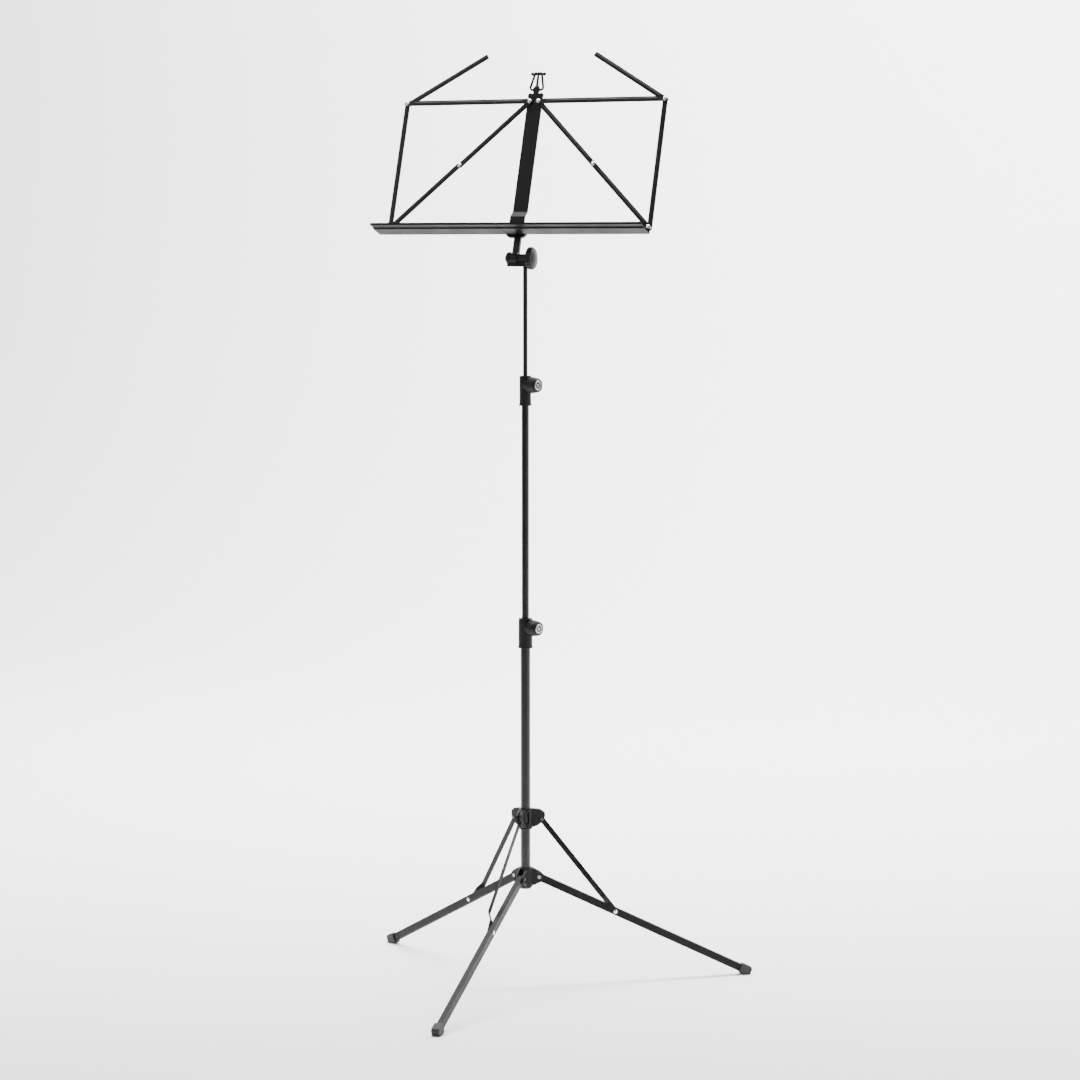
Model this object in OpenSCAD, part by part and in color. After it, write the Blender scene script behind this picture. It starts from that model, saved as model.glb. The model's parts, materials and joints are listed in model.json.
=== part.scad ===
// Folding music stand: a three-section mast on a folding tripod, with a tilting desk that folds
// up like a fan. Millimetres, +Z up. The origin is on the floor, on the mast's axis. The musician
// stands on the -Y side, so "left" and "right" are the musician's own.

/* [Mast] */
// Outside diameter of the bottom tube
bottom_d = 17; // [16:0.5:18]
// Outside diameter of the middle tube
middle_d = 12.7; // [12:0.1:13]
// Diameter of the solid top rod
rod_d = 8; // [7:0.5:8.5]
// Wall thickness of both tubes
tube_wall = 1; // [0.8:0.1:1.2]
// Height of the top of the lower clamp
lower_clamp_top = 637; // [630:1:645]
// Height of the top of the upper clamp
upper_clamp_top = 1053.5; // [1040:0.5:1065]
// Height of the tilt bolt
tilt_z = 1253; // [1240:1:1300]

/* [Clamps] */
// Height of a clamp sleeve
clamp_h = 51; // [48:1:55]
// Diameter of the lower clamp sleeve
lower_clamp_d = 24; // [22:0.5:26]
// Diameter of the upper clamp sleeve
upper_clamp_d = 20; // [19:0.5:22]
// Direction that the clamp knobs point in, from +X
knob_azimuth = -25; // [-35:1:-20]
// Diameter of a clamp knob at its back
knob_d = 28; // [24:0.5:30]
// Length of a clamp knob
knob_len = 19; // [16:0.5:24]

/* [Tripod] */
// Distance from the mast's axis to the middle of a foot
foot_reach = 390; // [360:1:420]
// Height of the leg pivots
hub_z = 186; // [175:1:195]
// Height of the strut pivots on the collar
collar_z = 287; // [280:1:292]
// Distance along a leg from its pivot to the strut's rivet
strut_reach = 150; // [140:1:160]
// Width of a leg channel
leg_w = 9; // [8:0.5:10]
// Depth of a leg channel
leg_h = 13; // [12:0.5:14]

/* [Desk] */
// Lean of the desk back from upright
desk_tilt = 19.2; // [5:0.1:30]
// Sideways place of the desk's centre line
desk_x = -24; // [-26:0.5:-22]
// Length of every link in the fan, and of the plate between its pivots
link = 231.8; // [225:0.1:240]
// Half the distance between the two pivots on the centre plate
pivot_x = 8.2; // [8:0.1:9]
// Width of the flat bars
bar_w = 9; // [8:0.5:10]
// Thickness of the flat bars
bar_t = 1.4; // [1.2:0.1:1.6]
// Width of the centre plate
plate_w = 27.5; // [26:0.5:30]
// Depth of the ledge, from its back wall to its lip
ledge_depth = 44; // [40:1:48]
// Length of a page arm
arm_len = 165; // [150:1:170]
// Angle of the page arms above the top bars
arm_angle = 32; // [28:1:60]

/* [Hidden] */
$fn = 48;

// Clearance of a running fit on the radius, and between neighbours that slide past each other
play = 0.05;
gap = 0.3;
tiny = 0.01;

// Mast
tube_foot_z = 172;
clamp_grip = 22;
middle_insert = 75;
rod_insert = 235;
bush_len = 12;
clamp_knob_drop = 15.5;
cap_r = 8;
stud_r = 3;
insert_r = 4.5;
pad_t = 2;
lower_bore_r = bottom_d / 2 - tube_wall;
middle_bore_r = middle_d / 2 - tube_wall;

// Tripod: a leg runs from its pivot on the hub down to the middle of its foot
leg_azimuths = [-89, 31, 151];
pivot_r = 22.8;
foot_mid_z = 8;
leg_drop = atan2(hub_z - foot_mid_z, foot_reach - pivot_r);
leg_len = norm([foot_reach - pivot_r, hub_z - foot_mid_z]);
collar_pivot_r = 28;
window_azimuth = -58;
leg_skin = 1.2;
rivet_r = 2;
strut_w = 9.5;
strut_t = 1.8;
strut_lug = 9;
collar_cheek = 3.6;
strut_low_offset = leg_w / 2 + gap + strut_t / 2;
strut_joggle = 7.5;
strut_bends = [36, 22];
strut_foot_r = pivot_r + strut_reach * cos(leg_drop);
strut_foot_z = hub_z - strut_reach * sin(leg_drop);
strut_len = norm([strut_foot_r - collar_pivot_r, collar_z - strut_foot_z]);
strut_lean = atan2(strut_foot_r - collar_pivot_r, collar_z - strut_foot_z);
foot_len = 20;
foot_w = 14;
foot_h = 18;

// Desk: heights up the desk are counted from the tilt bolt, and n from the bolt's own plane
// towards the musician. Each kind of bar turns in a layer of its own.
rivet_line = 55.2;
top_line = rivet_line + link;
corner_x = pivot_x + link;
diagonal_len = link / sqrt(2);
plate_n = -8.8;
plate_t = 1.8;
plate_foot_n = -0.8;
back_layer = -8.2;
middle_layer = -6.5;
front_layer = -4;
wall_n = 1.3;
sheet_t = 1.2;
rib_h = 0.7;
rib_w = 4;
rib_inset = 14;
wall_top = 7.5;
ledge_drop = 12.7;
ledge_split_x = -10;
ledge_split_slant = 10;
split_gap = 1.2;
ledge_end = [14.4, 4];
head_t = 1.2;
head_r = 3.9;
neck_x = 3.9;
neck_w = 12;

// Tilt joint: where its pieces start and end along the bolt, from the mast's axis
left_ear = [-33, -27];
right_ear = [-13.2, 5];
eye = [-26.7, -13.5];
ear_r = 11;
right_ear_r = 7.5;
eye_r = 9.5;
tilt_bolt_r = 3;
tilt_bolt_end = 15;

// ---- shared shapes ----

module tube(r_out, r_in, z0, z1) {
    difference() {
        translate([0, 0, z0]) cylinder(r = r_out, h = z1 - z0);
        translate([0, 0, z0 - 1]) cylinder(r = r_in, h = z1 - z0 + 2);
    }
}

// Puts a shape that is drawn in the desk's plane (x, height up the desk) at depth n
module in_desk(n = 0) {
    translate([desk_x, 0, tilt_z]) rotate([-desk_tilt, 0, 0])
        translate([0, -n, 0]) rotate([90, 0, 0]) children();
}

// Mirrors a right-hand desk piece to the left when side is -1
module on_side(side) {
    if (side > 0) children();
    else mirror([1, 0, 0]) children();
}

// Outline of a flat bar from (0, 0) to (len, 0), round at both ends, with its two holes
module bar_outline(len, w) {
    difference() {
        union() {
            translate([0, -w / 2]) square([len, w]);
            circle(d = w);
            translate([len, 0]) circle(d = w);
        }
        circle(r = rivet_r + play);
        translate([len, 0]) circle(r = rivet_r + play);
    }
}

// Stiffening rib pressed into a bar between its ends
module bar_rib(len) {
    translate([rib_inset, 0, bar_t - tiny]) rotate([90, 0, 90])
        linear_extrude(len - 2 * rib_inset)
            polygon([[-rib_w / 2, 0], [rib_w / 2, 0], [rib_w / 4, rib_h], [-rib_w / 4, rib_h]]);
}

module flat_bar(len, w = bar_w) {
    linear_extrude(bar_t) bar_outline(len, w);
    bar_rib(len);
}

// Domed rivet: a shank from n0 to n1 with a head in front, a tail behind and shoulders that
// hold the layers apart. Each shoulder is a pair of depths.
module rivet(n0, n1, shoulders = []) {
    translate([0, 0, n0 - head_t / 2]) cylinder(r = rivet_r, h = n1 - n0 + head_t / 2);
    translate([0, 0, n1]) rivet_head();
    translate([0, 0, n0 - head_t / 2]) cylinder(r = head_r - 0.6, h = head_t / 2);
    for (s = shoulders)
        translate([0, 0, s[0]]) cylinder(r = head_r, h = s[1] - s[0]);
}

module rivet_head() {
    rotate_extrude()
        intersection() {
            translate([0, head_t - 7]) circle(r = 7);
            square([head_r, head_t + 1]);
        }
}

// ---- mast ----

module bottom_tube() {
    color("#1c1d1f")
        tube(bottom_d / 2, lower_bore_r, tube_foot_z, lower_clamp_top - clamp_h + clamp_grip);
}

module middle_tube() {
    color("#1c1d1f")
        tube(middle_d / 2, middle_bore_r, lower_clamp_top - middle_insert,
             upper_clamp_top - clamp_h + clamp_grip);
}

module middle_tube_bush() {
    z0 = lower_clamp_top - middle_insert;
    color("#2a2b2d")
        tube(lower_bore_r - play, middle_d / 2, z0, z0 + bush_len);
}

module top_rod() {
    z0 = upper_clamp_top - rod_insert;
    color("#1c1d1f")
        translate([0, 0, z0]) cylinder(r = rod_d / 2, h = tilt_z - 4 - z0);
}

module rod_bush() {
    z0 = upper_clamp_top - rod_insert;
    color("#2a2b2d")
        tube(middle_bore_r - play, rod_d / 2, z0, z0 + bush_len);
}

// ---- clamps ----

// Points +X along a clamp knob's axis at a clamp whose top is at z
module along_knob(z) {
    translate([0, 0, z - clamp_knob_drop]) rotate([0, 0, knob_azimuth]) rotate([0, 90, 0])
        children();
}

// Sleeve fixed on an outer tube. The inner tube slides in its upper bore.
module clamp_sleeve(top, d, outer_d, inner_d) {
    boss_len = d / 2 + 3;
    rim = 1;
    difference() {
        union() {
            translate([0, 0, top - clamp_h]) cylinder(d = d, h = clamp_h);
            along_knob(top) cylinder(d = 20, h = boss_len);
            translate([0, 0, top - clamp_h]) cylinder(d = d + 2 * rim, h = 3);
        }
        translate([0, 0, top - clamp_h - 1]) cylinder(d = outer_d, h = clamp_grip + 1);
        translate([0, 0, top - clamp_h]) cylinder(r = inner_d / 2 + play, h = clamp_h + 1);
        along_knob(top) cylinder(r = insert_r, h = boss_len + 1);
    }
}

module clamp_insert(top, d, inner_d) {
    start = inner_d / 2 + play + pad_t + 1;
    along_knob(top) tube(insert_r, stud_r + play, start, d / 2 + 3);
}

// Pad with a hollow face that fits round the inner tube
module clamp_pad(top, inner_d) {
    difference() {
        along_knob(top) cylinder(r = insert_r - play, h = inner_d / 2 + pad_t);
        translate([0, 0, top - clamp_h]) cylinder(r = inner_d / 2 + play, h = clamp_h);
    }
}

// Fluted knob, tapered to its front, with a recess for the cap
module clamp_knob(top, d) {
    back = d / 2 + 3 + gap;
    front_r = knob_d / 2 - 1.6;
    flutes = 14;
    flute_r = 1.7;
    edge = 1.2;
    front_edge = 2.4;
    along_knob(top) translate([0, 0, back])
        difference() {
            rotate_extrude()
                polygon([[0, 0], [knob_d / 2 - edge, 0], [knob_d / 2, edge],
                         [knob_d / 2, 5], [front_r, knob_len - front_edge],
                         [front_r - front_edge, knob_len], [0, knob_len]]);
            for (i = [0 : flutes - 1])
                rotate([0, 0, i * 360 / flutes]) translate([knob_d / 2 + 0.7, 0, 3])
                    cylinder(r = flute_r, h = knob_len);
            translate([0, 0, knob_len - 2]) cylinder(r = cap_r, h = 3);
            translate([0, 0, -1]) cylinder(r = stud_r, h = 12);
        }
}

// Dished metal cap with a plain raised ring
module knob_cap(top, d) {
    front = d / 2 + 3 + gap + knob_len - 2;
    color("#c9ccd0")
        along_knob(top) translate([0, 0, front])
            rotate_extrude()
                polygon([[0, 0], [cap_r - play, 0], [cap_r - play, 2.2], [7.2, 2.9],
                         [5.4, 2.9], [4.8, 2], [3.2, 2], [2.6, 2.7], [0, 2.8]]);
}

module knob_screw(top, d, inner_d) {
    start = inner_d / 2 + pad_t + gap;
    color("#a9adb2")
        along_knob(top) translate([0, 0, start])
            cylinder(r = stud_r, h = d / 2 + 3 + gap + 11 - start);
}

module lower_clamp() {
    color("#17181a") clamp_sleeve(lower_clamp_top, lower_clamp_d, bottom_d, middle_d);
}
module lower_clamp_insert() {
    color("#b08d3c") clamp_insert(lower_clamp_top, lower_clamp_d, middle_d);
}
module lower_clamp_pad() {
    color("#d8d8d2") clamp_pad(lower_clamp_top, middle_d);
}
module lower_knob() {
    color("#17181a") clamp_knob(lower_clamp_top, lower_clamp_d);
}
module lower_knob_cap() {
    knob_cap(lower_clamp_top, lower_clamp_d);
}
module lower_knob_screw() {
    knob_screw(lower_clamp_top, lower_clamp_d, middle_d);
}
module upper_clamp() {
    color("#17181a") clamp_sleeve(upper_clamp_top, upper_clamp_d, middle_d, rod_d);
}
module upper_clamp_insert() {
    color("#b08d3c") clamp_insert(upper_clamp_top, upper_clamp_d, rod_d);
}
module upper_clamp_pad() {
    color("#d8d8d2") clamp_pad(upper_clamp_top, rod_d);
}
module upper_knob() {
    color("#17181a") clamp_knob(upper_clamp_top, upper_clamp_d);
}
module upper_knob_cap() {
    knob_cap(upper_clamp_top, upper_clamp_d);
}
module upper_knob_screw() {
    knob_screw(upper_clamp_top, upper_clamp_d, rod_d);
}

// ---- tripod ----

// Draws in the upright plane of a leg: x is the distance from the mast, y is height, and the
// extrusion runs from t0 to t1 across the plane, on the side that lies clockwise seen from above
module leg_plane(azimuth, t0, t1) {
    rotate([0, 0, azimuth]) rotate([90, 0, 0]) translate([0, 0, t0])
        linear_extrude(t1 - t0) children();
}

// Two cheeks either side of t, gripping a bar of half-width half
module cheeks(azimuth, t, half, cheek_t) {
    leg_plane(azimuth, t - half - cheek_t, t - half) children();
    leg_plane(azimuth, t + half, t + half + cheek_t) children();
}

module hub_lug_outline() {
    difference() {
        polygon([[6, hub_z - 13], [14, hub_z - 14], [pivot_r + 4, hub_z - 8.5],
                 [pivot_r + 8, hub_z - 5], [pivot_r + 8, hub_z + 4], [pivot_r + 3, hub_z + 8.5],
                 [14, hub_z + 15], [6, hub_z + 15]]);
        translate([pivot_r, hub_z]) circle(r = rivet_r);
    }
}

module leg_hub() {
    half = leg_w / 2 + gap;
    cheek_t = 2.6;
    skirt_r = 12.5;
    color("#17181a")
        difference() {
            union() {
                translate([0, 0, tube_foot_z - 2]) cylinder(r = skirt_r, h = 33);
                translate([0, 0, tube_foot_z - 6]) cylinder(r1 = 9, r2 = skirt_r, h = 4 + tiny);
                for (a = leg_azimuths)
                    cheeks(a, 0, half, cheek_t) hub_lug_outline();
            }
            translate([0, 0, tube_foot_z]) cylinder(d = bottom_d, h = 40);
        }
}

module hub_pins() {
    half = leg_w / 2 + gap + 2.6;
    color("#c2a86a")
        for (a = leg_azimuths)
            rotate([0, 0, a]) translate([pivot_r, 0, hub_z]) rotate([90, 0, 0])
                translate([0, 0, -half]) {
                    translate([0, 0, -1]) cylinder(r = rivet_r, h = 2 * half + 2);
                    translate([0, 0, -1]) cylinder(r = 3.2, h = 1);
                    translate([0, 0, 2 * half]) cylinder(r = 3.2, h = 1);
                }
}

// Leg channel along +x from its pivot, open below, closed round the pivot end
module leg_channel() {
    body_len = leg_len + 4;
    cut_w = leg_w - 2 * leg_skin;
    difference() {
        translate([0, leg_w / 2, 0]) rotate([90, 0, 0])
            linear_extrude(leg_w)
                union() {
                    translate([0, -leg_h / 2]) square([body_len, leg_h]);
                    circle(d = leg_h);
                }
        translate([-leg_h, -cut_w / 2, -leg_h / 2 - 1])
            cube([body_len + leg_h + 1, cut_w, leg_h + 1 - leg_skin]);
        for (x = [0, strut_reach])
            translate([x, leg_w, 0]) rotate([90, 0, 0])
                cylinder(r = rivet_r + play, h = 2 * leg_w);
    }
}

// Places a leg's own +x along the leg, from the hub's pivot down to the foot
module along_leg(azimuth) {
    rotate([0, 0, azimuth]) translate([pivot_r, 0, hub_z]) rotate([0, leg_drop, 0]) children();
}

module leg(azimuth) {
    color("#1c1d1f") along_leg(azimuth) leg_channel();
}

// Moulded shoe over the end of the leg, cut off level where it stands on the floor
module foot(azimuth) {
    wall = 2;
    start = leg_len - foot_len + 10;
    color("#121314")
        difference() {
            along_leg(azimuth)
                difference() {
                    translate([start, foot_w / 2, 0]) rotate([90, 0, 0])
                        linear_extrude(foot_w)
                            polygon([[0, -foot_h / 2 + 3], [3, -foot_h / 2],
                                     [foot_len - 3, -foot_h / 2], [foot_len, -foot_h / 2 + 3],
                                     [foot_len, foot_h / 2 - 3], [foot_len - 3, foot_h / 2],
                                     [2, foot_h / 2], [0, foot_h / 2 - 1.5]]);
                    translate([start - 1, -leg_w / 2, -leg_h / 2])
                        cube([leg_len + 4 - start + 1, leg_w, leg_h]);
                }
            translate([-foot_reach * 2, -foot_reach * 2, -50])
                cube([foot_reach * 4, foot_reach * 4, 50]);
        }
}

// Rivet through the leg. It stops short of the strut, which is held by its own joint.
module leg_rivet(azimuth) {
    color("#d5d7d9")
        along_leg(azimuth) translate([strut_reach, 0, 0]) rotate([90, 0, 0]) {
            translate([0, 0, -leg_w / 2]) cylinder(r = rivet_r, h = leg_w);
            translate([0, 0, -leg_w / 2]) mirror([0, 0, 1]) rivet_head();
        }
}

// Outline of a strut seen edge on, between two faces that lie at t0 and t1 from its middle.
// The strut leans out from the collar's lug, so that it clears the leg when they fold, and is
// set back beside the leg at its lower end.
module strut_edge(t0, t1, start = -strut_w, end = strut_len + strut_w) {
    low = strut_low_offset;
    high = strut_low_offset + strut_joggle;
    x1 = strut_len - strut_bends[0];
    x2 = strut_len - strut_bends[1];
    polygon([[start, -t0], [strut_lug, -t0], [x1, -high - t0], [x2, -low - t0], [end, -low - t0],
             [end, -low - t1], [x2, -low - t1], [x1, -high - t1], [strut_lug, -t1], [start, -t1]]);
}

// Rib pressed along a strut, on the side away from the leg
module strut_rib() {
    start = 20;
    end = strut_len - 40;
    slope = (strut_low_offset + strut_joggle) / (strut_len - strut_bends[0] - strut_lug);
    t0 = slope * (start - strut_lug) + strut_t / 2 - 0.1;
    t1 = slope * (end - strut_lug) + strut_t / 2 - 0.1;
    translate([0, 0, -rib_w / 2]) linear_extrude(rib_w)
        polygon([[start, -t0], [end, -t1], [end - rib_h, -t1 - rib_h - 0.1],
                 [start + rib_h, -t0 - rib_h - 0.1]]);
}

// Flat strut from the collar down to the leg
module strut(azimuth) {
    color("#1c1d1f")
        rotate([0, 0, azimuth]) translate([collar_pivot_r, 0, collar_z])
            rotate([0, 90 - strut_lean, 0])
                union() {
                    intersection() {
                        rotate([90, 0, 0]) translate([0, 0, -10])
                            linear_extrude(40) bar_outline(strut_len, strut_w);
                        translate([0, 0, -strut_w]) linear_extrude(2 * strut_w)
                            strut_edge(-strut_t / 2, strut_t / 2);
                    }
                    strut_rib();
                }
}

module collar_lug_outline() {
    r = collar_pivot_r;
    z = collar_z;
    difference() {
        polygon([[6, z - 13], [14, z - 13], [21, z - 10.5], [r - 1, z - 6], [r + 4, z - 2],
                 [r + 6, z + 8], [r + 5, z + 12], [r - 2, z + 17], [13, z + 19], [6, z + 19]]);
        translate([r, z]) circle(r = rivet_r);
    }
}

// Lug with a slot in its outer part for the top of a strut
module collar_lug(azimuth) {
    half = strut_t / 2 + gap;
    slot_x = collar_pivot_r - strut_w / 2 - 1.5;
    difference() {
        leg_plane(azimuth, -half - collar_cheek, half + collar_cheek) collar_lug_outline();
        leg_plane(azimuth, -half, half)
            translate([slot_x, collar_z - 30]) square([40, 60]);
    }
}

module strut_collar() {
    collar_r = bottom_d / 2 + 3.4;
    window = [8, 20];
    color("#17181a")
        difference() {
            union() {
                translate([0, 0, collar_z - 16]) cylinder(r = collar_r, h = 35);
                for (a = leg_azimuths)
                    collar_lug(a);
            }
            translate([0, 0, collar_z - 30]) cylinder(r = bottom_d / 2 + play, h = 60);
            rotate([0, 0, window_azimuth]) translate([0, -window[0] / 2, collar_z - 6])
                cube([30, window[0], window[1]]);
        }
}

module collar_pins() {
    half = strut_t / 2 + gap + collar_cheek;
    color("#2a2b2d")
        for (a = leg_azimuths)
            rotate([0, 0, a]) translate([collar_pivot_r, 0, collar_z])
                rotate([90, 0, 0]) translate([0, 0, -half]) {
                    translate([0, 0, -0.8]) cylinder(r = rivet_r, h = 2 * half + 1.6);
                    translate([0, 0, -0.8]) cylinder(r = 3, h = 0.8);
                    translate([0, 0, 2 * half]) cylinder(r = 3, h = 0.8);
                }
}

module leg_front() { leg(leg_azimuths[0]); }
module leg_right() { leg(leg_azimuths[1]); }
module leg_left() { leg(leg_azimuths[2]); }
module foot_front() { foot(leg_azimuths[0]); }
module foot_right() { foot(leg_azimuths[1]); }
module foot_left() { foot(leg_azimuths[2]); }
module leg_rivet_front() { leg_rivet(leg_azimuths[0]); }
module leg_rivet_right() { leg_rivet(leg_azimuths[1]); }
module leg_rivet_left() { leg_rivet(leg_azimuths[2]); }
module strut_front() { strut(leg_azimuths[0]); }
module strut_right() { strut(leg_azimuths[1]); }
module strut_left() { strut(leg_azimuths[2]); }

// ---- tilt joint ----

// Places +Z along the tilt bolt, towards +X, counted from the mast's axis
module along_bolt() {
    translate([0, 0, tilt_z]) rotate([0, 90, 0]) children();
}

// Fork that the neck's eye turns in, on top of the rod
module tilt_head() {
    bridge = [left_ear[0] + 2, right_ear[1]];
    bridge_z = tilt_z - 14;
    color("#17181a")
        difference() {
            union() {
                along_bolt() translate([0, 0, left_ear[0]]) {
                    translate([0, 0, 2]) cylinder(r = ear_r, h = left_ear[1] - left_ear[0] - 2);
                    cylinder(r1 = ear_r - 2, r2 = ear_r, h = 2 + tiny);
                }
                along_bolt() translate([0, 0, right_ear[0]])
                    cylinder(r = right_ear_r, h = right_ear[1] - right_ear[0]);
                translate([bridge[0], -7, bridge_z]) cube([bridge[1] - bridge[0], 14, 8]);
                translate([0, 0, bridge_z]) cylinder(r = 6.2, h = 5.5);
            }
            along_bolt() translate([0, 0, left_ear[0] - 1])
                cylinder(r = tilt_bolt_r + play, h = 60);
            along_bolt() translate([0, 0, eye[0] - gap])
                cylinder(r = eye_r + gap, h = eye[1] - eye[0] + 2 * gap);
            translate([0, 0, bridge_z - 6]) cylinder(r = rod_d / 2, h = 16);
        }
}

module tilt_bolt() {
    color("#a9adb2")
        along_bolt() {
            translate([0, 0, left_ear[0] - 3]) cylinder(r = 5, h = 3, $fn = 6);
            translate([0, 0, left_ear[0] - tiny])
                cylinder(r = tilt_bolt_r, h = tilt_bolt_end - left_ear[0]);
        }
}

// Large round hand knob with finger scallops round its rim
module tilt_knob() {
    start = right_ear[1] + gap;
    r = 19.3;
    edge = 2.5;
    hub_len = 1.4;
    disc = 9.4;
    scallops = 18;
    color("#17181a")
        along_bolt() translate([0, 0, start])
            difference() {
                union() {
                    cylinder(r = 7, h = hub_len + tiny);
                    translate([0, 0, hub_len])
                        rotate_extrude()
                            union() {
                                polygon([[0, 0], [r - 1, 0], [r, 1], [r, disc - edge],
                                         [r - edge, disc], [0, disc]]);
                                intersection() {
                                    translate([0, disc + 2.6 - 44]) circle(r = 44);
                                    translate([0, disc - 1]) square([r - edge, 5]);
                                }
                            }
                }
                for (i = [0 : scallops - 1])
                    rotate([0, 0, i * 360 / scallops]) translate([r + 1.2, 0, hub_len - 1])
                        cylinder(r = 2, h = disc + 5);
                translate([0, 0, -1])
                    cylinder(r = tilt_bolt_r + play, h = tilt_bolt_end + gap - start + 1);
            }
}

// Bracket behind the ledge, with the neck that comes down to the tilt bolt
module desk_bracket() {
    n0 = -7;
    n1 = plate_foot_n;
    wing_w = 39;
    wing_r = 10;
    wing_low = -17;
    wing_high = 6.5;
    color("#17181a") {
        in_desk(n0)
            linear_extrude(n1 - n0)
                difference() {
                    union() {
                        translate([neck_x - neck_w / 2, eye_r - 3])
                            square([neck_w, rivet_line - eye_r + 3]);
                        translate([-wing_w / 2 + wing_r, rivet_line + wing_low])
                            square([wing_w - 2 * wing_r, wing_high - wing_low]);
                        for (s = [-1, 1])
                            translate([s * (wing_w / 2 - wing_r), rivet_line + wing_low + wing_r])
                                circle(r = wing_r);
                    }
                    for (s = [-1, 1])
                        translate([s * pivot_x, rivet_line]) circle(r = rivet_r);
                }
        difference() {
            along_bolt() translate([0, 0, eye[0]]) cylinder(r = eye_r, h = eye[1] - eye[0]);
            along_bolt() translate([0, 0, eye[0] - 1])
                cylinder(r = tilt_bolt_r + play, h = eye[1] - eye[0] + 2);
        }
    }
}

// ---- desk ----

// Edge of the centre plate: up the foot, forward to back over the joggle, and up the main part
module plate_edge() {
    foot0 = rivet_line - 9;
    jog0 = rivet_line + 20;
    jog1 = rivet_line + 31;
    top = top_line + 11;
    polygon([[plate_foot_n, foot0], [plate_foot_n + plate_t, foot0],
             [plate_foot_n + plate_t, jog0], [plate_n + plate_t, jog1], [plate_n + plate_t, top],
             [plate_n, top], [plate_n, jog1], [plate_foot_n, jog0]]);
}

// Ornamental lyre on the plate's top, drawn from its own foot at (0, 0)
module lyre() {
    for (s = [-1, 1]) {
        translate([s * 7.2, 13]) difference() {
            circle(r = 6.4);
            circle(r = 2.9);
            translate([-8, 2]) square([16, 8]);
        }
        polygon([[s * 13.5, 14], [s * 9.6, 14.6], [s * 4.8, 36.5], [s * 8.4, 36.5]]);
        translate([s * 11.4, 37.6]) circle(r = 2.8);
        translate([s * 5, 39]) circle(r = 2.3);
    }
    translate([0, 39.2]) circle(r = 2.4);
    translate([-11.4, 35.5]) square([22.8, 3.8]);
    polygon([[-2.3, 8], [2.3, 8], [1.8, 36.5], [-1.8, 36.5]]);
    polygon([[-6.5, 0], [6.5, 0], [4.8, 4], [8, 9], [1.8, 16], [-1.8, 16], [-8, 9], [-4.8, 4]]);
}

module centre_plate() {
    shoulder_r = 4.5;
    top = top_line + 11;
    color("#17181a")
        difference() {
            union() {
                in_desk(0) translate([-plate_w / 2, 0, 0]) rotate([90, 0, 90])
                    linear_extrude(plate_w) plate_profile();
                in_desk(plate_n) linear_extrude(plate_t) {
                    for (s = [-1, 1])
                        translate([s * (plate_w / 2 - shoulder_r + 0.8), top + 1])
                            circle(r = shoulder_r);
                    translate([-plate_w / 2 + shoulder_r, top - 1])
                        square([plate_w - 2 * shoulder_r, shoulder_r]);
                    translate([0, top + 3]) lyre();
                }
            }
            in_desk(plate_n - 1) linear_extrude(20)
                for (s = [-1, 1], v = [rivet_line, top_line])
                    translate([s * pivot_x, v]) circle(r = rivet_r);
        }
}

// The plate's edge turned so that its first axis is height and its second is depth
module plate_profile() {
    mirror([1, -1]) plate_edge();
}

module plate_rivets() {
    color("#d5d7d9")
        in_desk(0)
            for (s = [-1, 1])
                translate([s * pivot_x, top_line, 0])
                    rivet(plate_n, front_layer + bar_t + gap,
                          [[plate_n + plate_t, middle_layer - gap],
                           [middle_layer + bar_t + gap, front_layer - gap]]);
}

module ledge_rivets() {
    color("#2a2b2d")
        in_desk(0)
            for (s = [-1, 1])
                translate([s * pivot_x, rivet_line, 0])
                    rivet(-7, wall_n + sheet_t + gap);
}

module top_bar(side) {
    color("#1c1d1f")
        in_desk(front_layer) on_side(side)
            translate([pivot_x, top_line, 0]) flat_bar(link);
}

// Its bottom hole is loose on the rivet, because the bar hangs from its top rivet
module side_bar(side) {
    color("#1c1d1f")
        in_desk(middle_layer) on_side(side)
            translate([corner_x, rivet_line, 0])
                difference() {
                    rotate([0, 0, 90]) flat_bar(link);
                    translate([0, 0, -1]) cylinder(r = rivet_r + gap, h = bar_t + 2);
                }
}

module upper_diagonal(side) {
    color("#1c1d1f")
        in_desk(middle_layer) on_side(side)
            translate([pivot_x, top_line, 0]) rotate([0, 0, -45]) flat_bar(diagonal_len);
}

module lower_diagonal(side) {
    color("#1c1d1f")
        in_desk(front_layer) on_side(side)
            translate([pivot_x + link / 2, rivet_line + link / 2, 0])
                rotate([0, 0, -45]) flat_bar(diagonal_len);
}

module page_arm(side) {
    color("#1c1d1f")
        in_desk(back_layer - bar_t) on_side(side)
            translate([corner_x, top_line, 0]) rotate([0, 0, 180 - arm_angle])
                difference() {
                    union() {
                        linear_extrude(bar_t)
                            union() {
                                translate([0, -bar_w / 2]) square([arm_len, bar_w]);
                                circle(d = bar_w);
                            }
                        bar_rib(arm_len + rib_inset - 3);
                    }
                    translate([0, 0, -1]) cylinder(r = rivet_r + play, h = 5);
                }
}

module top_corner_rivet(side) {
    color("#d5d7d9")
        in_desk(0) on_side(side)
            translate([corner_x, top_line, 0])
                rivet(back_layer - bar_t - gap, front_layer + bar_t,
                      [[back_layer + gap, middle_layer - gap],
                       [middle_layer + bar_t + gap, front_layer]]);
}

// Stops short of the upper diagonal, which is held by its own joint
module middle_rivet(side) {
    color("#d5d7d9")
        in_desk(front_layer) on_side(side)
            translate([pivot_x + link / 2, rivet_line + link / 2, 0]) {
                cylinder(r = rivet_r, h = bar_t);
                translate([0, 0, bar_t]) rivet_head();
            }
}

module bottom_corner_rivet(side) {
    color("#d5d7d9")
        in_desk(0) on_side(side)
            translate([corner_x, rivet_line, 0])
                rivet(middle_layer - gap, wall_n + sheet_t,
                      [[middle_layer + bar_t + gap, front_layer - gap],
                       [front_layer + bar_t + gap, wall_n]]);
}

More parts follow.
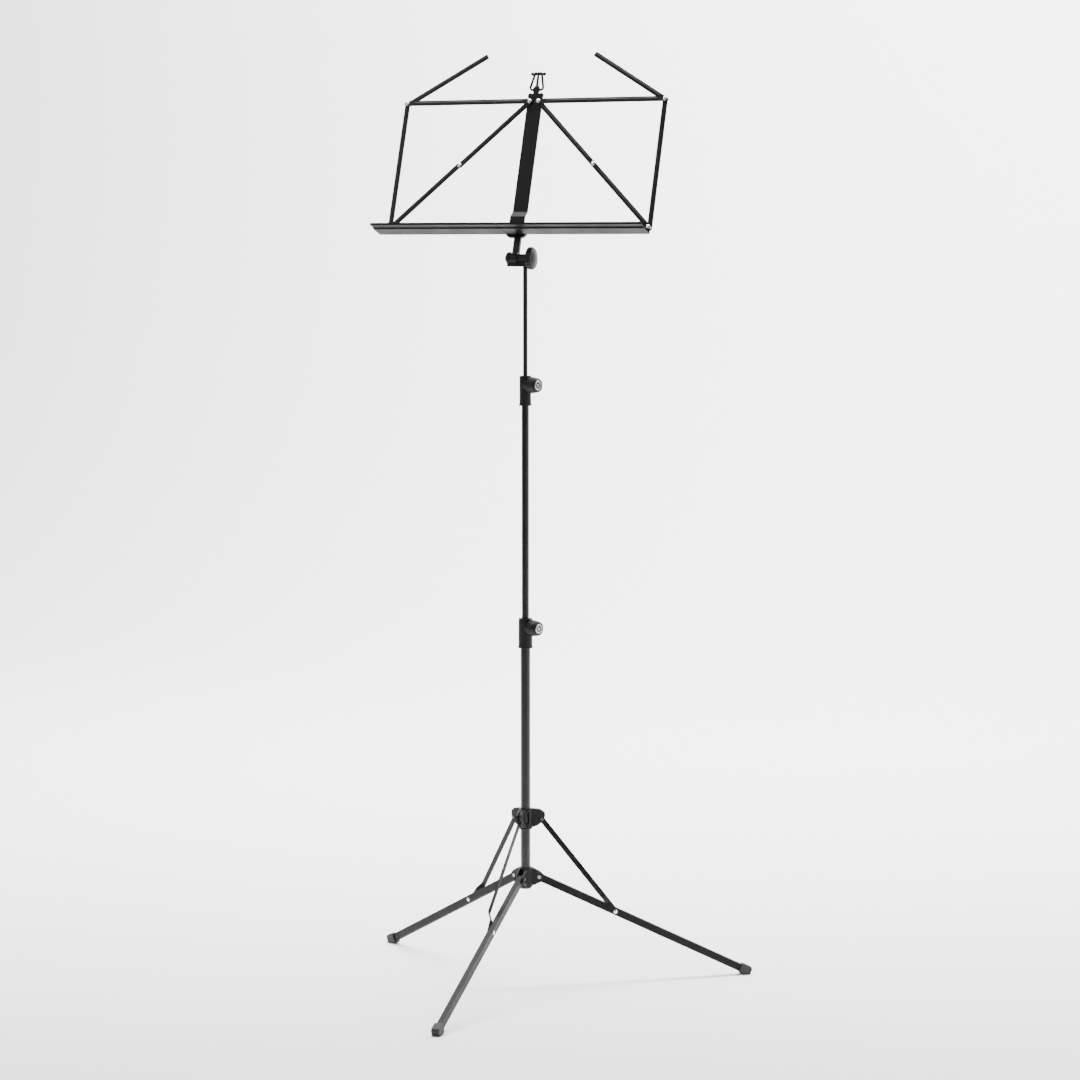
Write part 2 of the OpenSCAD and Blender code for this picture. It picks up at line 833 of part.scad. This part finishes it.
// Section of the ledge: back wall, shelf, step and lip. First axis is depth, second is height.
module ledge_section() {
    b = rivet_line - ledge_drop;
    step_n = 29;
    step_h = 2;
    lip_h = 4.2;
    n0 = wall_n;
    n1 = wall_n + ledge_depth;
    t = sheet_t;
    polygon([[n0, b], [n0 + step_n, b], [n0 + step_n + t, b + step_h], [n1, b + step_h],
             [n1, b + step_h + lip_h], [n1 - t, b + step_h + lip_h], [n1 - t, b + step_h + t],
             [n0 + step_n, b + step_h + t], [n0 + step_n - t, b + t], [n0, b + t]]);
}

// Plan of one half's shelf, cut off slantwise where the halves meet. First axis is x, second n.
module shelf_plan(side) {
    n0 = wall_n - 1;
    n1 = wall_n + ledge_depth + 1;
    cut = ledge_split_x + side * split_gap / 2;
    far = side * corner_x + side * ledge_end[side > 0 ? 1 : 0];
    polygon([[cut, n0], [far, n0], [far, n1], [cut - ledge_split_slant, n1]]);
}

// Outline of one half's back wall in the desk's plane
module wall_outline(side) {
    b = rivet_line - ledge_drop;
    far = side * corner_x + side * ledge_end[side > 0 ? 1 : 0];
    cut = ledge_split_x + side * split_gap / 2;
    inner = side > 0 ? pivot_x : cut;
    tongue_h = ledge_drop - wall_top - gap;
    difference() {
        union() {
            translate([side * pivot_x, rivet_line]) circle(r = wall_top);
            polygon([[inner, b], [far, b], [far, rivet_line + 2],
                     [far - side * 5, rivet_line + wall_top],
                     [inner, rivet_line + wall_top]]);
            if (side > 0) translate([cut, b]) square([inner - cut, tongue_h]);
        }
        for (x = [side * pivot_x, side * corner_x])
            translate([x, rivet_line]) circle(r = rivet_r + (x == side * pivot_x ? play : 0));
    }
}

module ledge(side) {
    color("#26282b") {
        in_desk(wall_n) linear_extrude(sheet_t) wall_outline(side);
        in_desk(0)
            intersection() {
                translate([-300, 0, 0]) rotate([90, 0, 90]) linear_extrude(600)
                    mirror([1, -1]) ledge_section();
                translate([0, rivet_line + 10, 0]) rotate([90, 0, 0])
                    linear_extrude(40) shelf_plan(side);
            }
    }
}

module top_bar_left() { top_bar(-1); }
module top_bar_right() { top_bar(1); }
module side_bar_left() { side_bar(-1); }
module side_bar_right() { side_bar(1); }
module upper_diagonal_left() { upper_diagonal(-1); }
module upper_diagonal_right() { upper_diagonal(1); }
module lower_diagonal_left() { lower_diagonal(-1); }
module lower_diagonal_right() { lower_diagonal(1); }
module ledge_left() { ledge(-1); }
module ledge_right() { ledge(1); }
module page_arm_left() { page_arm(-1); }
module page_arm_right() { page_arm(1); }
module top_corner_rivet_left() { top_corner_rivet(-1); }
module top_corner_rivet_right() { top_corner_rivet(1); }
module middle_rivet_left() { middle_rivet(-1); }
module middle_rivet_right() { middle_rivet(1); }
module bottom_corner_rivet_left() { bottom_corner_rivet(-1); }
module bottom_corner_rivet_right() { bottom_corner_rivet(1); }

bottom_tube();
leg_hub();
hub_pins();
lower_clamp();
lower_clamp_insert();
lower_clamp_pad();
strut_collar();
collar_pins();
leg_front();
leg_right();
leg_left();
foot_front();
foot_right();
foot_left();
leg_rivet_front();
leg_rivet_right();
leg_rivet_left();
strut_front();
strut_right();
strut_left();
middle_tube();
middle_tube_bush();
upper_clamp();
upper_clamp_insert();
upper_clamp_pad();
top_rod();
rod_bush();
tilt_head();
tilt_bolt();
tilt_knob();
lower_knob();
lower_knob_cap();
lower_knob_screw();
upper_knob();
upper_knob_cap();
upper_knob_screw();
desk_bracket();
centre_plate();
plate_rivets();
ledge_rivets();
top_bar_left();
top_bar_right();
side_bar_left();
side_bar_right();
upper_diagonal_left();
upper_diagonal_right();
lower_diagonal_left();
lower_diagonal_right();
ledge_left();
ledge_right();
page_arm_left();
page_arm_right();
top_corner_rivet_left();
top_corner_rivet_right();
middle_rivet_left();
middle_rivet_right();
bottom_corner_rivet_left();
bottom_corner_rivet_right();
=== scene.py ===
import json
import math

import bmesh
import bpy
from mathutils import Matrix, Vector


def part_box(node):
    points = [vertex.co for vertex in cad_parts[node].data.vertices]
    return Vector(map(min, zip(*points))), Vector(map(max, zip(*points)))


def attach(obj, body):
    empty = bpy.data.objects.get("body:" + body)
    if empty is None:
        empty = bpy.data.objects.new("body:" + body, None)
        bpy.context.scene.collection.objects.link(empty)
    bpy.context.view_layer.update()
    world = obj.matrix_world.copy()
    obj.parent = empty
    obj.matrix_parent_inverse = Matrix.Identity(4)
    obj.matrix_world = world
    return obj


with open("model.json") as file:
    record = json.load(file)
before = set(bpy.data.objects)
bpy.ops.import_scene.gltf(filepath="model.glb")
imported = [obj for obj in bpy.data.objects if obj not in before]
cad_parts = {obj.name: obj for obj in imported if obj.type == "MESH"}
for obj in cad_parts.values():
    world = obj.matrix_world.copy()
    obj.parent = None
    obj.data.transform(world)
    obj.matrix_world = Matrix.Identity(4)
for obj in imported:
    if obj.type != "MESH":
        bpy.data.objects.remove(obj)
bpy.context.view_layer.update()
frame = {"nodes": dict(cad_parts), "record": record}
record = frame["record"]
joints = {j["name"]: j for j in record["behaviour"]["joints"]}
MM = 0.001

# Turned knob caps: spacing of the tool rings, and the radii of the groove, where a band of painted
# shade is laid
RING_PITCH = 0.35 * MM
CAP_GROOVE_SHADE = (3.0 * MM, 5.0 * MM)

# Rivets that are added here: radius, height of the dome and length of the stem
STRUT_RIVET = (3.7 * MM, 1.3 * MM, 1.7 * MM)
DIAGONAL_TAIL = (3.3 * MM, 0.35 * MM, 1.3 * MM)
STRUT_FACE = 6.6 * MM  # from the middle of a leg to the strut's outer face
HALF_BAR = 0.7 * MM  # half the thickness of a flat bar

# Camera: place, level heading, downward pitch and lens in mm
CAMERA_PLACE = (1.980, -4.797, 1.259)
CAMERA_HEADING = (-0.377, 0.926)
CAMERA_PITCH = math.radians(5.36)
CAMERA_LENS = 101.3

# ---------------------------------------------------------------- materials


class Nodes:
    """Short way to build one material's node tree."""

    def __init__(self, name):
        self.mat = bpy.data.materials.new(name)
        self.mat.use_nodes = True
        self.tree = self.mat.node_tree
        self.tree.nodes.clear()
        self.out = self.add("ShaderNodeOutputMaterial")
        self.bsdf = self.add("ShaderNodeBsdfPrincipled")
        self.link(self.bsdf.outputs["BSDF"], self.out.inputs["Surface"])
        self.coord = self.add("ShaderNodeTexCoord").outputs["Object"]

    def add(self, kind):
        return self.tree.nodes.new(kind)

    def link(self, a, b):
        self.tree.links.new(a, b)

    def noise(self, scale, detail=2.0, stretch=(1, 1, 1), roughness=0.5):
        mapping = self.add("ShaderNodeMapping")
        mapping.inputs["Scale"].default_value = stretch
        self.link(self.coord, mapping.inputs["Vector"])
        n = self.add("ShaderNodeTexNoise")
        n.inputs["Scale"].default_value = scale
        n.inputs["Detail"].default_value = detail
        n.inputs["Roughness"].default_value = roughness
        self.link(mapping.outputs["Vector"], n.inputs["Vector"])
        return n.outputs["Fac"]

    def remap(self, value, a, b, low, high):
        m = self.add("ShaderNodeMapRange")
        m.inputs["From Min"].default_value = a
        m.inputs["From Max"].default_value = b
        m.inputs["To Min"].default_value = low
        m.inputs["To Max"].default_value = high
        self.link(value, m.inputs["Value"])
        return m.outputs["Result"]

    def mix(self, factor, a, b):
        m = self.add("ShaderNodeMix")
        m.data_type = "RGBA"
        m.inputs["A"].default_value = (*a, 1)
        m.inputs["B"].default_value = (*b, 1)
        self.link(factor, m.inputs["Factor"])
        return m.outputs["Result"]

    def add_values(self, a, b):
        m = self.add("ShaderNodeMath")
        m.operation = "ADD"
        self.link(a, m.inputs[0])
        self.link(b, m.inputs[1])
        return m.outputs["Value"]

    def bump(self, height, strength, distance):
        b = self.add("ShaderNodeBump")
        b.inputs["Strength"].default_value = strength
        b.inputs["Distance"].default_value = distance
        self.link(height, b.inputs["Height"])
        self.link(b.outputs["Normal"], self.bsdf.inputs["Normal"])


def finish_material(name, colour, dust, rough, grain, depth, metallic=0.0, coat=0.0,
                    specular=0.5, stretch=(1, 1, 1), scuff=0.35):
    """A coated, moulded or bare surface: fine grain, uneven gloss, a little dust and scuffing."""
    m = Nodes(name)
    fine = m.noise(grain, 3.0, stretch)
    broad = m.noise(22.0, 4.0)
    streaks = m.noise(320.0, 3.0, (1, 1, 0.12))
    gloss = m.add_values(m.remap(broad, 0.3, 0.7, rough * 0.86, rough * 1.14),
                         m.remap(streaks, 0.55, 0.8, 0.0, rough * scuff))
    m.link(gloss, m.bsdf.inputs["Roughness"])
    tone = m.add_values(m.remap(broad, 0.35, 0.75, 0.0, 0.6),
                        m.remap(fine, 0.45, 0.75, 0.0, 0.4))
    m.link(m.mix(tone, colour, dust), m.bsdf.inputs["Base Color"])
    m.bsdf.inputs["Metallic"].default_value = metallic
    m.bsdf.inputs["Specular IOR Level"].default_value = specular
    m.bsdf.inputs["Coat Weight"].default_value = coat
    m.bsdf.inputs["Coat Roughness"].default_value = 0.12
    m.bump(fine, 0.5, depth)
    return m.mat


def turned_material(name, colour, dark, rough, centre, axis, groove):
    """Bright metal turned on a lathe: fine rings round an axis, and painted shade in one groove,
    whose band is painted near black.
    """
    m = Nodes(name)
    offset = m.add("ShaderNodeVectorMath")
    offset.operation = "SUBTRACT"
    offset.inputs[1].default_value = centre
    m.link(m.coord, offset.inputs[0])
    cross = m.add("ShaderNodeVectorMath")
    cross.operation = "CROSS_PRODUCT"
    cross.inputs[1].default_value = axis
    m.link(offset.outputs["Vector"], cross.inputs[0])
    length = m.add("ShaderNodeVectorMath")
    length.operation = "LENGTH"
    m.link(cross.outputs["Vector"], length.inputs[0])
    rings = m.add("ShaderNodeMath")
    rings.operation = "SINE"
    scaled = m.add("ShaderNodeMath")
    scaled.operation = "MULTIPLY"
    scaled.inputs[1].default_value = 2 * math.pi / RING_PITCH
    m.link(length.outputs["Value"], scaled.inputs[0])
    m.link(scaled.outputs["Value"], rings.inputs[0])
    cloud = m.noise(300.0, 3.0)
    metal = m.mix(m.remap(cloud, 0.35, 0.8, 0, 1), colour, dark)
    # Painted shade: the band at the groove's radii is painted near black in place of the shade in
    # the recess.
    band = m.add("ShaderNodeMath")
    band.operation = "COMPARE"
    m.link(length.outputs["Value"], band.inputs[0])
    band.inputs[1].default_value = (groove[0] + groove[1]) / 2
    band.inputs[2].default_value = (groove[1] - groove[0]) / 2
    painted = m.add("ShaderNodeMix")
    painted.data_type = "RGBA"
    painted.inputs["B"].default_value = (0.012, 0.012, 0.013, 1)
    m.link(band.outputs["Value"], painted.inputs["Factor"])
    m.link(metal, painted.inputs["A"])
    m.link(painted.outputs["Result"], m.bsdf.inputs["Base Color"])
    m.link(m.remap(cloud, 0.3, 0.7, rough * 0.8, rough * 1.3), m.bsdf.inputs["Roughness"])
    m.bsdf.inputs["Metallic"].default_value = 1.0
    m.bump(rings.outputs["Value"], 0.35, 0.000012)
    return m.mat


MATERIALS = {
    "mast_paint": finish_material("mast_paint", (0.004, 0.004, 0.0045), (0.008, 0.008, 0.009),
                                  0.22, 900.0, 0.00002, coat=0.3, specular=0.25, scuff=0.25),
    "leg_paint": finish_material("leg_paint", (0.005, 0.005, 0.0055), (0.012, 0.012, 0.013),
                                 0.40, 1500.0, 0.00004, specular=0.12),
    "bar_paint": finish_material("bar_paint", (0.005, 0.0055, 0.006), (0.012, 0.0125, 0.0135),
                                 0.38, 1600.0, 0.00004, specular=0.14),
    "plate_paint": finish_material("plate_paint", (0.004, 0.004, 0.0045), (0.009, 0.009, 0.010),
                                   0.45, 1600.0, 0.00004, specular=0.1),
    "ledge_paint": finish_material("ledge_paint", (0.005, 0.0055, 0.006), (0.012, 0.0125, 0.0135),
                                    0.42, 1400.0, 0.00004, specular=0.05),
    "head_metal": finish_material("head_metal", (0.005, 0.005, 0.0055), (0.011, 0.011, 0.012),
                                  0.42, 1300.0, 0.00006, specular=0.2),
    "black_plastic": finish_material("black_plastic", (0.005, 0.005, 0.0055),
                                     (0.012, 0.012, 0.013), 0.48, 2300.0, 0.00007,
                                     specular=0.18),
    "bush_plastic": finish_material("bush_plastic", (0.030, 0.030, 0.033), (0.045, 0.045, 0.048),
                                    0.45, 1600.0, 0.00003),
    "pad_plastic": finish_material("pad_plastic", (0.62, 0.61, 0.57), (0.70, 0.69, 0.66),
                                   0.50, 1600.0, 0.00003),
    "screw_steel": finish_material("screw_steel", (0.50, 0.51, 0.53), (0.38, 0.38, 0.40),
                                   0.30, 2600.0, 0.00002, metallic=1.0),
    "brass_insert": finish_material("brass_insert", (0.62, 0.44, 0.19), (0.45, 0.31, 0.13),
                                    0.30, 2200.0, 0.00002, metallic=1.0),
    "hub_pin": finish_material("hub_pin", (0.36, 0.31, 0.22), (0.20, 0.17, 0.12),
                               0.34, 2600.0, 0.00003, metallic=1.0),
    "dark_rivet": finish_material("dark_rivet", (0.060, 0.060, 0.063), (0.10, 0.10, 0.105),
                                  0.30, 2600.0, 0.00003, metallic=0.8),
    "bright_rivet": finish_material("bright_rivet", (0.82, 0.83, 0.84), (0.66, 0.67, 0.69),
                                    0.24, 3000.0, 0.00002, metallic=1.0),
    "foot_rubber": finish_material("foot_rubber", (0.012, 0.012, 0.012), (0.030, 0.030, 0.030),
                                   0.62, 1500.0, 0.00008, specular=0.35),
}

for side in ("lower", "upper"):
    joint = joints[f"{side}_knob_turn"]
    MATERIALS[f"{side}_cap"] = turned_material(
        f"{side}_cap_metal", (0.66, 0.67, 0.69), (0.50, 0.51, 0.53), 0.25,
        joint["pos_m"], joint["axis"], CAP_GROOVE_SHADE)

EDGE = {"mast_paint": 0.3, "leg_paint": 0.5, "bar_paint": 0.25, "plate_paint": 0.3,
        "ledge_paint": 0.3, "head_metal": 0.6, "black_plastic": 0.5, "foot_rubber": 0.9,
        "screw_steel": 0.3}
BEVEL_LIMIT = math.radians(38)


def dress(obj, slot):
    obj.data.materials.clear()
    key = slot
    if slot == "knob_cap":
        key = "lower_cap" if "lower" in obj.name else "upper_cap"
    obj.data.materials.append(MATERIALS[key])


for part in record["subparts"]:
    node = frame["nodes"][part["node"]]
    slot = part["material_slot"]
    dress(node, slot)
    if slot in EDGE:
        bevel = node.modifiers.new("soft_edge", "BEVEL")
        bevel.width = EDGE[slot] * MM
        bevel.segments = 2
        bevel.limit_method = "ANGLE"
        bevel.angle_limit = BEVEL_LIMIT
        bevel.harden_normals = True

# ---------------------------------------------------------------- added pieces


def lathe(name, profile, where, axis, body, slot, segments=40):
    """A turned piece. The profile is a list of (radius, height) along the axis, in metres."""
    bm = bmesh.new()
    rings = []
    for r, z in profile:
        if r == 0:
            rings.append([bm.verts.new((0, 0, z))])
        else:
            rings.append([bm.verts.new((r * math.cos(2 * math.pi * i / segments),
                                        r * math.sin(2 * math.pi * i / segments), z))
                          for i in range(segments)])
    for low, high in zip(rings, rings[1:]):
        for i in range(segments):
            k = (i + 1) % segments
            loop = [low[i % len(low)], low[k % len(low)], high[k % len(high)], high[i % len(high)]]
            corners = list(dict.fromkeys(loop))
            if len(corners) > 2:
                bm.faces.new(corners)
    bmesh.ops.recalc_face_normals(bm, faces=bm.faces)
    mesh = bpy.data.meshes.new(name)
    bm.to_mesh(mesh)
    bm.free()
    for face in mesh.polygons:
        face.use_smooth = True
    obj = bpy.data.objects.new(name, mesh)
    bpy.context.scene.collection.objects.link(obj)
    turn = Vector((0, 0, 1)).rotation_difference(Vector(axis)).to_matrix().to_4x4()
    obj.matrix_world = Matrix.Translation(Vector(where)) @ turn
    obj.data.materials.append(MATERIALS[slot])
    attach(obj, body)
    return obj


def dome(radius, height, stem):
    """Profile of a domed rivet head with a short stem below it."""
    steps = 8
    sphere = (radius * radius + height * height) / (2 * height)
    arc = [(math.sqrt(max(sphere ** 2 - (sphere - height + height * i / steps) ** 2, 0)),
            height * i / steps) for i in range(steps)]
    return [(0, -stem), (radius * 0.5, -stem), (radius * 0.5, 0)] + arc + [(0, height)]


def centre(node):
    low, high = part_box(node)
    return (low + high) / 2


# Each strut's own rivet at its lower end, outside the leg
for k in ("front", "right", "left"):
    fold = joints[f"leg_{k}_fold"]
    axis = Vector(fold["axis"])
    pivot = Vector(fold["pos_m"])
    spot = centre(f"leg_rivet_{k}")
    spot = spot - axis * (spot - pivot).dot(axis)
    lathe(f"strut_rivet_{k}", dome(*STRUT_RIVET), spot + axis * STRUT_FACE, axis,
          f"strut_{k}", "bright_rivet")

# The tail of each diagonal's middle rivet, behind the upper half
for side in ("left", "right"):
    turn = joints[f"upper_diagonal_{side}_turn"]
    facing = Vector(joints["fold_right"]["axis"])
    spot = centre(f"middle_rivet_{side}")
    spot = spot - facing * (spot - Vector(turn["pos_m"])).dot(facing)
    lathe(f"middle_rivet_tail_{side}", dome(*DIAGONAL_TAIL), spot - facing * HALF_BAR,
          -facing, f"upper_diagonal_{side}", "bright_rivet")

# ---------------------------------------------------------------- stage


def pale(name, colour):
    m = Nodes(name)
    cloud = m.noise(1.3, 2.0)
    shade = tuple(c * 0.985 for c in colour)
    m.link(m.mix(cloud, colour, shade), m.bsdf.inputs["Base Color"])
    m.bsdf.inputs["Roughness"].default_value = 0.85
    m.bsdf.inputs["Specular IOR Level"].default_value = 0.15
    m.bump(m.noise(90.0, 2.0), 0.1, 0.0002)
    return m.mat


def sweep_floor():
    """A floor that curves up into a back wall."""
    back = 3.2
    radius = 2.0
    half = 9.0
    wall_top = 9.0
    steps = 24
    line = [(-half, 0.0), (back, 0.0)]
    line += [(back + radius * math.sin(a), radius - radius * math.cos(a))
             for a in (math.pi / 2 * i / steps for i in range(1, steps + 1))]
    line += [(back + radius, wall_top)]
    verts = [(x, y, z) for y, z in line for x in (-half, half)]
    faces = [(2 * i, 2 * i + 1, 2 * i + 3, 2 * i + 2) for i in range(len(line) - 1)]
    mesh = bpy.data.meshes.new("floor")
    mesh.from_pydata(verts, [], faces)
    mesh.update()
    for face in mesh.polygons:
        face.use_smooth = True
    obj = bpy.data.objects.new("floor", mesh)
    bpy.context.scene.collection.objects.link(obj)
    obj.data.materials.append(pale("paper", (0.93, 0.93, 0.93)))
    return obj


sweep_floor()

world = bpy.data.worlds.new("room")
world.use_nodes = True
room = world.node_tree.nodes["Background"].inputs
room["Color"].default_value = (1.0, 1.0, 1.0, 1)
room["Strength"].default_value = 0.3
bpy.context.scene.world = world


def softbox(name, where, aim, size, power):
    light = bpy.data.lights.new(name, "AREA")
    light.shape = "RECTANGLE"
    light.size, light.size_y = size
    light.energy = power
    obj = bpy.data.objects.new(name, light)
    bpy.context.scene.collection.objects.link(obj)
    obj.location = where
    way = Vector(aim) - Vector(where)
    obj.rotation_euler = way.to_track_quat("-Z", "Y").to_euler()
    return obj


softbox("key", (-2.2, -2.6, 3.2), (0, 0, 0.8), (1.4, 1.4), 45)
softbox("strip", (2.96, -0.5, 1.3), (0, 0, 0.9), (0.5, 2.6), 40)
softbox("top", (0.2, 0.2, 4.6), (0, 0, 0.0), (3.5, 3.5), 200)
softbox("backdrop", (0.0, 1.4, 4.4), (-1.5, 4.8, 1.4), (5.0, 2.0), 1300)

camera_data = bpy.data.cameras.new("camera")
camera_data.lens = CAMERA_LENS
camera_data.sensor_width = 36.0
camera_data.dof.use_dof = False
camera = bpy.data.objects.new("camera", camera_data)
bpy.context.scene.collection.objects.link(camera)
camera.location = CAMERA_PLACE
level = math.cos(CAMERA_PITCH)
look = Vector((CAMERA_HEADING[0] * level, CAMERA_HEADING[1] * level, -math.sin(CAMERA_PITCH)))
camera.rotation_euler = look.to_track_quat("-Z", "Y").to_euler()
bpy.context.scene.camera = camera
